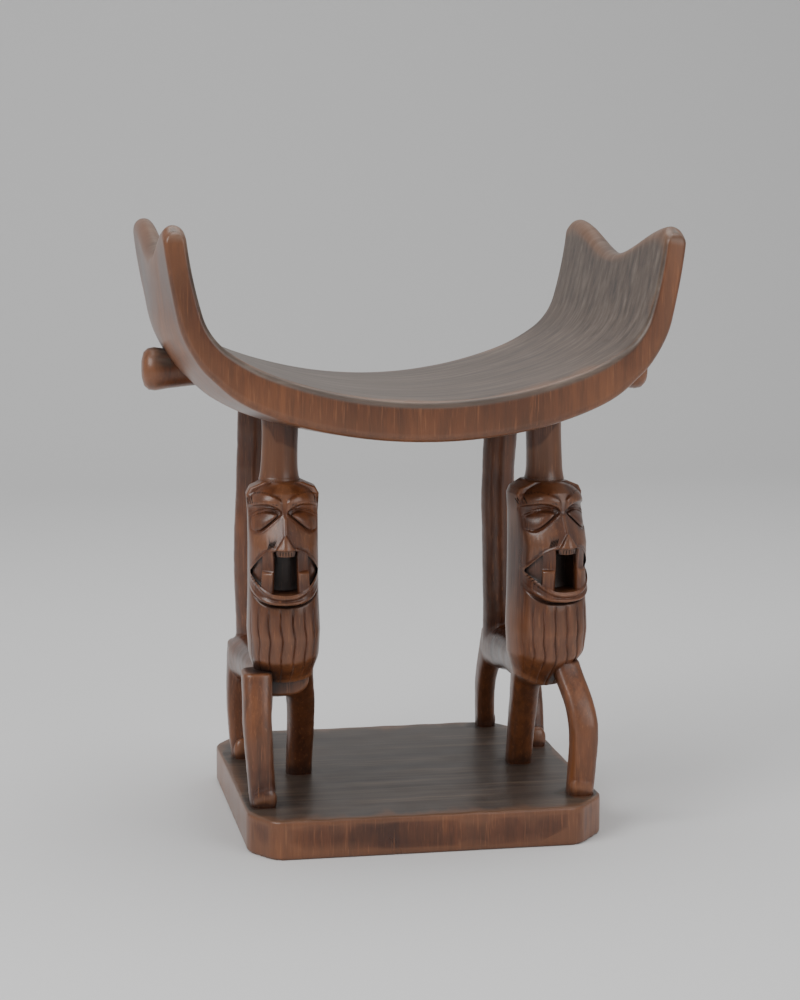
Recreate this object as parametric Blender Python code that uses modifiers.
"""Carved throne: a saddle seat on two striding lions, cut with its slab base from one block of wood.

Frame: metres, +Z up, the lions face -Y, and the origin is under the middle of the object.
A lion is laid out in its own plane: "out" runs from its centre line towards its own side of the
throne, "y" runs back, and "z" runs up from the floor.
"""
import math

import bmesh
import bpy
import numpy as np
from mathutils import Matrix, Vector

# Slab base
BASE_HALF_X = 0.170
BASE_SHIFT_X = 0.0008
BASE_FRONT_Y = -0.1735
BASE_BACK_Y = 0.1735
BASE_THICK = 0.0370
BASE_CUTS = {
    "front_left": (0.022, 0.033),
    "front_right": (0.031, 0.039),
    "back_right": (0.042, 0.058),
    "back_left": (0.034, 0.046),
}
BASE_CORNER_ROUND = 0.009
BASE_EDGE_ROUND = 0.0025

# Saddle seat: the top line of its front face is a chain of tangent arcs, from the middle outwards
SEAT_SHIFT_X = -0.0035
SEAT_HALF_SPAN = 0.2350
SEAT_BACK_SHIFT = -0.0065
SEAT_BACK_NARROWING = 0.0045
SEAT_BACK_DROP = 0.0045
SEAT_FRONT_Y = -0.1735
SEAT_BACK_Y = 0.1565
SEAT_MIDDLE_Z = 0.4201
SEAT_TILT = -0.0098
SEAT_ARCS = ((0.1427, 0.4155), (0.0465, 0.1727), (0.0407, 0.0602), (0.0801, 0.4086))
SEAT_ARC_TO_HORN = 0.3115
SEAT_RIM_DIP = 0.0290
SEAT_THICKNESS = ((0.0, 0.0370), (0.150, 0.0345), (0.190, 0.0280), (0.220, 0.0230), (0.312, 0.0205))
SEAT_CROWN = ((0.0, 0.004), (0.110, 0.010), (0.150, 0.013), (0.200, 0.012), (0.240, 0.006), (0.312, 0.0))
SEAT_EDGE_ROUND = 0.0055
SEAT_STATIONS = 14
SEAT_TIP_STEPS = 3
SEAT_ACROSS = 8

# Lugs at the two ends of the seat
LUG_RADIUS = 0.0208
LUG_REACH = 0.2485
LUG_ROOT = 0.1780
LUG_Y = 0.0065
LUG_Z = {-1: 0.4370, 1: 0.4300}

# Lions: the left one has the side -1 and the right one 1
LION_X = {-1: 0.1265, 1: 0.1280}
LION_NOSE_Z = {-1: 0.2805, 1: 0.2745}
LION_CHEST = {-1: -0.1230, 1: -0.1310}
LION_BREADTH = {-1: 1.0, 1: 1.025}
HEAD_SHIFT = {-1: 0.0, 1: -0.0010}
HEAD_TURN = {-1: math.radians(4.0), 1: math.radians(13.5)}
HEAD_Y = -0.0830
HEAD_HALF_WIDTH = 0.0325
HEAD_BACK = 0.0320
FACE_HEIGHTS = (-0.0535, -0.0520, -0.0490, -0.0460, -0.0420, -0.0340, -0.0260, -0.0200, -0.0150, -0.0100,
                -0.0060, -0.0020, 0.0005, 0.0030, 0.0070, 0.0110, 0.0145, 0.0170, 0.0195, 0.0220,
                0.0245, 0.0270, 0.0295, 0.0320, 0.0345, 0.0370, 0.0395, 0.0420, 0.0450, 0.0480,
                0.0515, 0.0550, 0.0580)
MANE_RINGS = 8
FACE_STEPS = 22
NAPE_STEPS = 6

POST_RADIUS = 0.0172
POST_Y = -0.0660
TAIL_RADIUS = 0.0170

# Legs, each size at the foot, knee and hip
FRONT_LEG = {"z": (0.0300, 0.1050, 0.1620), "half_width": (0.0122, 0.0132, 0.0144),
             "half_depth": (0.0125, 0.0140, 0.0180)}
HIND_LEG = {"z": (0.0300, 0.0900, 0.1480), "half_width": (0.0100, 0.0102, 0.0150),
            "half_depth": (0.0108, 0.0125, 0.0230)}
LEG_RINGS = 7
LEG_SIDES = 10
TOE_REACH = 0.0030
TOE_HEIGHT = 0.0240

# Each leg runs foot, knee, hip, every point as (out, y)
LION_LEGS = {
    -1: {
        "outer_front": ((0.0235, -0.1110), (0.0285, -0.1120), (0.0270, -0.0940)),
        "inner_front": ((-0.0260, 0.0050), (-0.0240, -0.0260), (-0.0160, -0.0620)),
        "outer_hind": ((0.0215, 0.0740), (0.0250, 0.0880), (0.0160, 0.1060)),
        "inner_hind": ((-0.0070, 0.1560), (-0.0090, 0.1400), (-0.0020, 0.1160)),
    },
    1: {
        "outer_front": ((0.0235, -0.1230), (0.0260, -0.1250), (0.0140, -0.0920)),
        "inner_front": ((-0.0065, 0.0060), (-0.0085, -0.0260), (-0.0130, -0.0620)),
        "outer_hind": ((0.0265, 0.0680), (0.0260, 0.0840), (0.0160, 0.1060)),
        "inner_hind": ((-0.0060, 0.1590), (-0.0090, 0.1430), (-0.0020, 0.1180)),
    },
}
# Trunk of the body, each row as (y, middle out, middle z, half width, half height)
TRUNK = (
    (-0.0850, 0.000, 0.1500, 0.0240, 0.0160),
    (-0.0500, 0.001, 0.1460, 0.0250, 0.0200),
    (0.0000, 0.004, 0.1410, 0.0240, 0.0200),
    (0.0500, 0.006, 0.1380, 0.0240, 0.0200),
    (0.0900, 0.007, 0.1340, 0.0260, 0.0235),
    (0.1180, 0.006, 0.1310, 0.0250, 0.0240),
    (0.1360, 0.004, 0.1290, 0.0200, 0.0190),
    (0.1450, 0.003, 0.1270, 0.0110, 0.0110),
)
# Tail from the rump to the seat, each row as (out, y, z)
TAIL_PATH = {
    -1: ((0.004, 0.116, 0.1300), (0.006, 0.103, 0.1750), (0.0085, 0.097, 0.2400), (0.005, 0.095, 0.3300),
         (0.003, 0.094, 0.4080)),
    1: ((0.000, 0.116, 0.1300), (-0.004, 0.104, 0.1750), (-0.007, 0.097, 0.2500), (-0.008, 0.095, 0.3100),
        (-0.003, 0.094, 0.4080)),
}

# Mouth, as seen from the front of a head: heights are measured from the nose tip
MOUTH_HALF_WIDTH = 0.0322
MOUTH_TOP = -0.0005
MOUTH_CORNER = -0.0235
MOUTH_BOTTOM = -0.0425
THROAT_DEPTH = 0.0260
POCKET_DEPTH = 0.0075
THROAT_HALF_WIDTH = 0.0125
GUM_HALF_WIDTH = 0.0085
GUM_EDGE = -0.0060
FANG_TOP = (0.0148, 0.0062)
FANG_BOTTOM = (0.0172, 0.0064)
FANG_DEPTH = 0.0052
FANG_MIDDLE = 0.0345

# Half width of the column of head and mane: (height above the nose tip, half width)
COLUMN_WIDTH = ((-0.1450, 0.0270), (-0.1150, 0.0325), (-0.0800, 0.0342), (-0.0450, 0.0330),
                (0.0000, 0.0325), (0.0300, 0.0328), (0.0470, 0.0340), (0.0530, 0.0308), (0.0580, 0.0190))
# Front of the lower jaw and mane on its centre line: (height above the nose tip, reach forward)
MANE_LINE = ((-0.1450, 0.010), (-0.1240, 0.027), (-0.1100, 0.034), (-0.0850, 0.038), (-0.0620, 0.037),
             (-0.0545, 0.035), (-0.0525, 0.039), (-0.0460, 0.044), (-0.0200, 0.044))
# Ridge from the upper lip over the nose and bridge to the brow and forehead
RIDGE_LINE = ((-0.0250, 0.0465), (0.0010, 0.0480), (0.0130, 0.0430), (0.0330, 0.0335), (0.0420, 0.0335),
              (0.0500, 0.0300), (0.0580, 0.0200))
CHEEK_FALL = 0.57
CHEEK_POWER = 4.0
NOSE_BASE_HALF = 0.0100
NOSE_APEX = 0.0170
NOSE_RAISE = 0.0028
FOREHEAD_LOW = 0.0300
FOREHEAD_TOP = 0.0585
EAR_REACH = 0.0080
EYE_PLACE = (0.0178, 0.0250)
EYE_HALF = (0.0125, 0.0068)
EYE_SLANT = math.radians(21.0)
EYE_SINK = 0.0042
EYE_SWELL = 0.0048
BROW_HEIGHT = 0.0405
BROW_SWELL = 0.0026
LIP_RIM = 0.0030
LIP_SWELL = 0.0022
FLUTE_DEPTH = 0.0011
FLUTE_COUNT = 5

WOOD_COLOUR = (0.150, 0.048, 0.018, 1.0)
WOOD_ROUGHNESS = 0.42


def clear_scene():
    for old in list(bpy.data.objects):
        bpy.data.objects.remove(old, do_unlink=True)


def new_collection(name):
    group = bpy.data.collections.new(name)
    bpy.context.scene.collection.children.link(group)
    return group


def wood_material():
    material = bpy.data.materials.new("dark_red_hardwood")
    material.use_nodes = True
    shader = material.node_tree.nodes["Principled BSDF"]
    shader.inputs["Base Color"].default_value = WOOD_COLOUR
    shader.inputs["Roughness"].default_value = WOOD_ROUGHNESS
    shader.inputs["Metallic"].default_value = 0.0
    return material


def mesh_object(name, mesh, group):
    body = bpy.data.objects.new(name, mesh)
    group.objects.link(body)
    return body


def table(rows, value):
    """Straight-line reading of a short table of (place, size) pairs."""
    return float(np.interp(value, [row[0] for row in rows], [row[1] for row in rows]))


def smooth_rows(rows, count):
    """Points on a smooth line through the rows, by Catmull-Rom spans."""
    rows = np.array(rows, dtype=float)
    padded = np.vstack([2 * rows[0] - rows[1], rows, 2 * rows[-1] - rows[-2]])
    places = np.linspace(0.0, len(rows) - 1.0, count)
    points = []
    for place in places:
        span = min(int(place), len(rows) - 2)
        part = place - span
        before, start, end, after = padded[span:span + 4]
        points.append(
            0.5 * (2 * start + (end - before) * part
                   + (2 * before - 5 * start + 4 * end - after) * part ** 2
                   + (3 * start - before - 3 * end + after) * part ** 3)
        )
    return np.array(points)


def loft(name, rings, group):
    """A closed skin over rings of equal length, with a fan at each end."""
    work = bmesh.new()
    rows = [[work.verts.new(point) for point in ring] for ring in rings]
    count = len(rows[0])
    for low, high in zip(rows[:-1], rows[1:]):
        for index in range(count):
            following = (index + 1) % count
            work.faces.new((low[index], low[following], high[following], high[index]))
    for row, outward in ((rows[0], -1), (rows[-1], 1)):
        middle = work.verts.new(sum((vert.co for vert in row), Vector()) / count)
        for index in range(count):
            following = (index + 1) % count
            corners = (row[index], row[following], middle)
            work.faces.new(corners if outward > 0 else corners[::-1])
    bmesh.ops.recalc_face_normals(work, faces=work.faces)
    mesh = bpy.data.meshes.new(name)
    work.to_mesh(mesh)
    work.free()
    return mesh_object(name, mesh, group)


def tube(name, path, radii, group, sides=3):
    """A round bar along a path, made from a bevelled curve and closed."""
    curve = bpy.data.curves.new(name, "CURVE")
    curve.dimensions = "3D"
    curve.bevel_depth = 1.0
    curve.bevel_resolution = sides
    curve.use_fill_caps = True
    spline = curve.splines.new("POLY")
    spline.points.add(len(path) - 1)
    for point, place, radius in zip(spline.points, path, radii):
        point.co = (*place, 1.0)
        point.radius = radius
    holder = bpy.data.objects.new(name + "_line", curve)
    group.objects.link(holder)
    bpy.context.view_layer.update()
    evaluated = holder.evaluated_get(bpy.context.evaluated_depsgraph_get())
    mesh = bpy.data.meshes.new_from_object(evaluated)
    bar = mesh_object(name, mesh, group)
    bar.matrix_world = holder.matrix_world.copy()
    bpy.data.objects.remove(holder, do_unlink=True)
    work = bmesh.new()
    work.from_mesh(mesh)
    bmesh.ops.remove_doubles(work, verts=work.verts, dist=0.00001)
    bmesh.ops.recalc_face_normals(work, faces=work.faces)
    work.to_mesh(mesh)
    work.free()
    return bar


def squircle(angle, power):
    """A point on the unit superellipse: 2 is round, more is squarer."""
    across = math.copysign(abs(math.cos(angle)) ** (2.0 / power), math.cos(angle))
    along = math.copysign(abs(math.sin(angle)) ** (2.0 / power), math.sin(angle))
    return across, along


def base_slab(group):
    """The slab that everything stands on, with its four corners cut off."""
    left = BASE_SHIFT_X - BASE_HALF_X
    right = BASE_SHIFT_X + BASE_HALF_X
    corners = (
        ("front_left", left, BASE_FRONT_Y, 1, 1),
        ("front_right", right, BASE_FRONT_Y, -1, 1),
        ("back_right", right, BASE_BACK_Y, -1, -1),
        ("back_left", left, BASE_BACK_Y, 1, -1),
    )
    outline = []
    for name, x, y, inward_x, inward_y in corners:
        cut_x, cut_y = BASE_CUTS[name]
        pair = [(x, y + inward_y * cut_y), (x + inward_x * cut_x, y)]
        outline.extend(pair if inward_x * inward_y > 0 else pair[::-1])
    work = bmesh.new()
    floor = [work.verts.new((x, y, 0.0)) for x, y in outline]
    face = work.faces.new(floor)
    bmesh.ops.recalc_face_normals(work, faces=[face])
    raised = bmesh.ops.extrude_face_region(work, geom=[face])
    top = [item for item in raised["geom"] if isinstance(item, bmesh.types.BMVert)]
    bmesh.ops.translate(work, verts=top, vec=(0.0, 0.0, BASE_THICK))
    bmesh.ops.recalc_face_normals(work, faces=work.faces)
    upright = [edge for edge in work.edges
               if abs(edge.verts[0].co.z - edge.verts[1].co.z) > BASE_THICK / 2]
    bmesh.ops.bevel(work, geom=upright, offset=BASE_CORNER_ROUND, segments=3, profile=0.5,
                    affect="EDGES", offset_type="OFFSET", clamp_overlap=True)
    mesh = bpy.data.meshes.new("throne")
    work.to_mesh(mesh)
    work.free()
    slab = mesh_object("throne", mesh, group)
    rounded = slab.modifiers.new("worn_edges", "BEVEL")
    rounded.width = BASE_EDGE_ROUND
    rounded.segments = 2
    rounded.limit_method = "ANGLE"
    rounded.angle_limit = math.radians(60.0)
    return slab


def seat_line(length):
    """Place and slope of the seat's top line at an arc length from the middle."""
    across = 0.0
    height = 0.0
    slope = 0.0
    left_over = length
    for arc_length, radius in SEAT_ARCS:
        step = min(left_over, arc_length)
        turned = slope + step / radius
        across += radius * (math.sin(turned) - math.sin(slope))
        height += radius * (math.cos(slope) - math.cos(turned))
        slope = turned
        left_over -= step
        if left_over <= 0.0:
            break
    return across, height, slope


def seat_reach(depth_share):
    """Arc length from the middle to the rim; the rim dips between the two round-topped horns."""
    horn = float(ease(abs(depth_share), 0.0, 0.95)) - 0.2 * float(ease(abs(depth_share), 0.9, 1.0))
    return SEAT_ARC_TO_HORN - SEAT_RIM_DIP * (1.0 - horn)


def seat_section(half_depth):
    """One ring across the seat, as (depth share, up share): the top, an edge, the underside, an edge."""
    ring = []
    flat_share = 1.0 - SEAT_EDGE_ROUND / half_depth
    for index in range(SEAT_ACROSS + 1):
        ring.append((flat_share * (1.0 - 2.0 * index / SEAT_ACROSS), 1.0))
    ring.append((-1.0, 0.5))
    ring.append((-1.0, -0.5))
    for index in range(SEAT_ACROSS + 1):
        ring.append((-flat_share * (1.0 - 2.0 * index / SEAT_ACROSS), -1.0))
    ring.append((1.0, -0.5))
    ring.append((1.0, 0.5))
    return ring


def seat(group):
    """The saddle seat: rings of one section carried along the chain of arcs, closed by round tips."""
    half_depth = (SEAT_BACK_Y - SEAT_FRONT_Y) / 2.0
    middle_y = (SEAT_BACK_Y + SEAT_FRONT_Y) / 2.0
    section = seat_section(half_depth)
    body_shares = [index / SEAT_STATIONS for index in range(SEAT_STATIONS)]
    tip = SEAT_THICKNESS[-1][1] / 2.0
    start = 1.0 - tip / SEAT_ARC_TO_HORN
    shares = [(share * start, 1.0) for share in body_shares]
    for step in range(SEAT_TIP_STEPS + 1):
        turn = math.pi / 2.0 * step / SEAT_TIP_STEPS
        shares.append((start + (1.0 - start) * math.sin(turn), max(math.cos(turn), 0.12)))
    places = [(-1, *pair) for pair in reversed(shares[1:])] + [(1, *pair) for pair in shares]
    rings = []
    for side, share, fullness in places:
        ring = []
        for depth_share, up_share in section:
            length = share * seat_reach(depth_share)
            across, height, slope = seat_line(length)
            thickness = table(SEAT_THICKNESS, length)
            crown = table(SEAT_CROWN, length) * (1.0 - depth_share ** 2)
            below = thickness / 2.0 - up_share * fullness * thickness / 2.0
            below += crown * fullness * (1.0 - up_share) / 2.0
            x = SEAT_SHIFT_X + side * (across + below * math.sin(slope))
            z = SEAT_MIDDLE_Z + height - below * math.cos(slope) + SEAT_TILT * (x - SEAT_SHIFT_X)
            back = (1.0 + depth_share) / 2.0
            x += back * (SEAT_BACK_SHIFT - SEAT_BACK_NARROWING * x / SEAT_HALF_SPAN)
            z -= back * SEAT_BACK_DROP
            round_in = 1.0 - (1.0 - fullness) * 0.035
            ring.append((x, middle_y + half_depth * depth_share * round_in, z))
        rings.append(ring)
    return loft("seat_form", rings, group)


def lugs(group):
    """The two round stubs under the ends of the seat."""
    made = []
    for side in (-1, 1):
        reach = [LUG_ROOT, LUG_REACH - 0.026, LUG_REACH - 0.010, LUG_REACH - 0.0035, LUG_REACH]
        radii = [LUG_RADIUS * share for share in (0.70, 0.90, 1.0, 0.86, 0.50)]
        path = [(side * x, LUG_Y, LUG_Z[side]) for x in reach]
        made.append(tube(f"lug_form_{'left' if side < 0 else 'right'}", path, radii, group, sides=4))
    return made


def ease(value, low, high):
    """0 below low, 1 above high, and a smooth rise between."""
    share = np.clip((value - low) / (high - low), 0.0, 1.0)
    return share * share * (3.0 - 2.0 * share)


def head_half_width(height):
    """Half the width of the column of head and mane at a height above the nose tip."""
    return table(COLUMN_WIDTH, height)


def mouth_edges(share):
    """Upper and lower edge of the open mouth at a share of its half width."""
    upper = MOUTH_TOP + (MOUTH_CORNER - MOUTH_TOP) * abs(share) ** 3.0
    lower = MOUTH_BOTTOM + (MOUTH_CORNER - MOUTH_BOTTOM) * abs(share) ** 2.6
    return upper, lower


def rounded(share, power):
    """Fall from 1 in the middle to 0 at the side, rounder with a lower power."""
    return max(0.0, 1.0 - share ** power) ** (1.0 / power)


def jaw_reach(share, height):
    """Reach of the round lower jaw and of the mane under it."""
    jaw = float(ease(height, -0.0560, -0.0500))
    return table(MANE_LINE, height) * rounded(share, 2.9 - 0.4 * jaw)


def cheek_reach(out, share, height):
    """Reach of the face above the mouth: a ridge with a plane falling away on each side."""
    plane = table(RIDGE_LINE, height) - CHEEK_FALL * max(0.0, abs(out) - 0.002)
    over_brow = (height - FOREHEAD_LOW) / (FOREHEAD_TOP - FOREHEAD_LOW)
    if over_brow > 0.0:
        arch = math.sqrt(max(0.0, 1.0 - min(1.0, over_brow) ** 2.4))
        dome = min(1.0, abs(out) / (HEAD_HALF_WIDTH * max(arch, 0.02)))
        flat = table(RIDGE_LINE, height) * rounded(dome, 2.8)
        plane = plane + (flat - plane) * min(1.0, over_brow * 2.0)
    return max(plane * rounded(share, CHEEK_POWER), EAR_REACH * rounded(share, 6.0))


def eye_relief(out, height):
    """A sunk almond socket with the bulging eye in it."""
    along = abs(out) - EYE_PLACE[0]
    above = height - EYE_PLACE[1]
    length = along * math.cos(EYE_SLANT) - above * math.sin(EYE_SLANT)
    across = along * math.sin(EYE_SLANT) + above * math.cos(EYE_SLANT)
    eye = 1.0 - (length / EYE_HALF[0]) ** 2 - (across / EYE_HALF[1]) ** 2
    socket = 1.0 - (length / (EYE_HALF[0] * 1.3)) ** 2 - (across / (EYE_HALF[1] * 1.6)) ** 2
    return EYE_SWELL * math.sqrt(max(0.0, eye)) - EYE_SINK * float(ease(socket, 0.0, 0.5))


def nose_relief(out, height):
    """The small raised triangle of the nose."""
    wide = NOSE_BASE_HALF * (1.0 - height / NOSE_APEX)
    if height < -0.001 or wide <= 0.0:
        return 0.0
    return NOSE_RAISE * float(ease(wide - abs(out), 0.0, 0.0025)) * (1.0 - height / NOSE_APEX)


def face_reach(out, height, half_width):
    """How far the carved front stands forward of the head's middle, from the side step and height."""
    share = min(1.0, abs(out) / half_width)
    side_fade = 1.0 - share ** 8
    mouth_share = min(1.0, abs(out) / MOUTH_HALF_WIDTH)
    upper, lower = mouth_edges(mouth_share)
    middle = (upper + lower) / 2.0
    below = jaw_reach(share, height)
    above = cheek_reach(out, share, height) + (eye_relief(out, height) + nose_relief(out, height)) * side_fade
    brow_line = BROW_HEIGHT - 0.10 * (abs(out) - 0.016) - 16.0 * (abs(out) - 0.016) ** 2
    above += BROW_SWELL * math.exp(-((height - brow_line) / 0.0028) ** 2) * side_fade
    blend = float(ease(height, middle - 0.002, middle + 0.002))
    reach = below + (above - below) * blend
    rim = math.exp(-((height - lower + LIP_RIM) / (LIP_RIM * 0.8)) ** 2)
    return max(reach + LIP_SWELL * rim * side_fade, 0.0)


def lion_point(side, out, y, z):
    """A lion's own (out, y, z) as a place in the throne's frame."""
    return Vector((side * (LION_X[side] + out), y, z))


def head_turn(side):
    """The slight turn and the breadth of a head and mane, about the upright through its middle."""
    pivot = Vector((side * LION_X[side], HEAD_Y, 0.0))
    turn = Matrix.Rotation(side * HEAD_TURN[side], 4, "Z")
    breadth = Matrix.Diagonal((LION_BREADTH[side], LION_BREADTH[side], 1.0, 1.0))
    place = pivot + Vector((side * HEAD_SHIFT[side], 0.0, 0.0))
    return Matrix.Translation(place) @ turn @ breadth @ Matrix.Translation(-pivot)


def mane_flute(angle_share, height):
    """Shallow scallops that run down the mane."""
    depth = FLUTE_DEPTH * float(ease(-height, 0.0560, 0.0640))
    return depth * abs(math.sin(math.pi * angle_share * FLUTE_COUNT)) - depth


def head_column(side, group):
    """Head and mane as one upright column, with the face worked on its front."""
    low = LION_CHEST[side] - 0.008
    chin = FACE_HEIGHTS[0]
    heights = list(np.linspace(low, chin, MANE_RINGS, endpoint=False)) + list(FACE_HEIGHTS)
    rings = []
    for height in heights:
        half = head_half_width(height)
        closing = float(ease(height, LION_CHEST[side] - 0.009, LION_CHEST[side] + 0.018))
        ring = []
        for step in range(FACE_STEPS + 1):
            angle = math.pi * (step / FACE_STEPS - 0.5)
            out = half * math.sin(angle)
            reach = face_reach(out, height, half)
            reach += mane_flute(step / FACE_STEPS, height) * math.cos(angle)
            if height < chin:
                reach *= 0.62 + 0.38 * closing
            ring.append((out, HEAD_Y - reach))
        for step in range(1, NAPE_STEPS):
            across, along = squircle(math.pi * step / NAPE_STEPS, 3.4)
            ring.append((half * across, HEAD_Y + HEAD_BACK * along))
        middle_x = side * LION_X[side]
        ring = [Vector((middle_x + out * (0.9 + 0.1 * closing), y, height + LION_NOSE_Z[side]))
                for out, y in ring]
        rings.append(ring)
    column = loft(f"head_form_{'left' if side < 0 else 'right'}", rings, group)
    column.data.transform(head_turn(side))
    return column


def mouth_cutter(side, group):
    """The hollow of the open mouth: slices from corner to corner, deep only between the fangs."""
    clear_reach = 0.070
    corner = 0.965
    outs = [share * THROAT_HALF_WIDTH for share in (-1.04, -1.0, -0.68, -0.66, 0.66, 0.68, 1.0, 1.04)]
    far = [corner * MOUTH_HALF_WIDTH * share for share in (1.0, 0.88, 0.74, 0.58)]
    outs = [-out for out in far] + outs + far[::-1]
    rings = []
    for out in outs:
        top, bottom = mouth_edges(out / MOUTH_HALF_WIDTH)
        if abs(out) < GUM_HALF_WIDTH:
            top = GUM_EDGE
        depth = THROAT_DEPTH if abs(out) <= THROAT_HALF_WIDTH else POCKET_DEPTH
        lip = jaw_reach(abs(out) / HEAD_HALF_WIDTH, (top + bottom) / 2.0)
        ring = [Vector((side * LION_X[side] + out, HEAD_Y - reach, height + LION_NOSE_Z[side]))
                for reach, height in ((lip - depth, bottom), (clear_reach, bottom),
                                      (clear_reach, top), (lip - depth, top))]
        rings.append(ring)
    cutter = loft(f"mouth_hollow_{'left' if side < 0 else 'right'}", rings, group)
    cutter.data.transform(head_turn(side))
    return cutter


def fangs(side, group):
    """The two upright fangs that bridge the lips: wood that the mouth's hollow goes round."""
    made = []
    for hand in (-1, 1):
        rings = []
        for height, (out, half) in ((MOUTH_TOP + 0.006, FANG_TOP), (MOUTH_BOTTOM - 0.005, FANG_BOTTOM)):
            ring = []
            for index in range(8):
                across, along = squircle(math.pi * (2 * index + 1) / 8, 3.0)
                ring.append(Vector((side * LION_X[side] + hand * out + half * across,
                                    HEAD_Y - FANG_MIDDLE + FANG_DEPTH * along,
                                    height + LION_NOSE_Z[side])))
            rings.append(ring)
        tooth = loft(f"fang_form_{side}_{hand}", rings, group)
        tooth.data.transform(head_turn(side))
        made.append(tooth)
    return made


def leg(name, side, stops, sizes, group):
    """One leg: squarish rings from the foot over the knee to the hip, with a low toe in front."""
    rows = [(z, *stop, width, depth) for z, stop, width, depth
            in zip(sizes["z"], stops, sizes["half_width"], sizes["half_depth"])]
    rings = []
    for z, out, y, half_width, half_depth in smooth_rows(rows, LEG_RINGS):
        toe = TOE_REACH * float(ease(BASE_THICK + TOE_HEIGHT - z, 0.0, TOE_HEIGHT))
        ring = []
        for index in range(LEG_SIDES):
            across, along = squircle(math.pi * (2 * index + 1) / LEG_SIDES, 3.2)
            reach = half_depth + (toe if along < 0.0 else 0.0)
            ring.append(lion_point(side, out + half_width * across, y + reach * along, z))
        rings.append(ring)
    return loft(name, rings, group)


def trunk(side, group):
    """The level body from the chest to the round rump."""
    rings = []
    for y, out, z, half_width, half_height in smooth_rows(TRUNK, 12):
        ring = []
        for index in range(12):
            across, along = squircle(2.0 * math.pi * index / 12, 2.5)
            ring.append(lion_point(side, out + half_width * across, y, z + half_height * along))
        rings.append(ring)
    return loft(f"trunk_form_{'left' if side < 0 else 'right'}", rings, group)


def lion(side, group):
    """All the forms of one lion, in the order in which they are joined."""
    name = "left" if side < 0 else "right"
    forms = [head_column(side, group), trunk(side, group)]
    for place, stops in LION_LEGS[side].items():
        sizes = HIND_LEG if place.endswith("hind") else FRONT_LEG
        forms.append(leg(f"{place}_leg_form_{name}", side, stops, sizes, group))
    path = [lion_point(side, *row) for row in smooth_rows(TAIL_PATH[side], 9)]
    radii = [TAIL_RADIUS * (1.0 + 0.12 * math.exp(-index)) for index in range(len(path))]
    forms.append(tube(f"tail_form_{name}", path, radii, group, sides=3))
    nose = LION_NOSE_Z[side]
    post = [lion_point(side, 0.0, POST_Y, z) for z in (nose + 0.030, nose + 0.058, nose + 0.066, 0.4120)]
    swell = [POST_RADIUS * share for share in (1.12, 1.12, 1.0, 1.0)]
    forms.append(tube(f"post_form_{name}", post, swell, group, sides=4))
    return forms


def boolean(body, tool, operation):
    """Join or cut one form, and keep it as a hidden wire guide."""
    step = body.modifiers.new(f"{operation.lower()}_{tool.name}", "BOOLEAN")
    step.operation = operation
    # The exact solver leaves open edges where a leg grazes the trunk, so all the steps use this one
    step.solver = "MANIFOLD"
    step.object = tool
    tool.hide_render = True
    tool.display_type = "WIRE"


def main():
    clear_scene()
    throne_group = new_collection("carved_throne")
    form_group = new_collection("forms_and_cutters")
    throne = base_slab(throne_group)
    boolean(throne, seat(form_group), "UNION")
    for lug in lugs(form_group):
        boolean(throne, lug, "UNION")
    for side in (-1, 1):
        for form in lion(side, form_group):
            boolean(throne, form, "UNION")
        hollow = mouth_cutter(side, form_group)
        for fang in fangs(side, form_group):
            boolean(hollow, fang, "DIFFERENCE")
        boolean(throne, hollow, "DIFFERENCE")
    throne.data.materials.append(wood_material())
    throne.data.shade_smooth()
    throne.data.set_sharp_from_angle(angle=math.radians(38.0))


main()
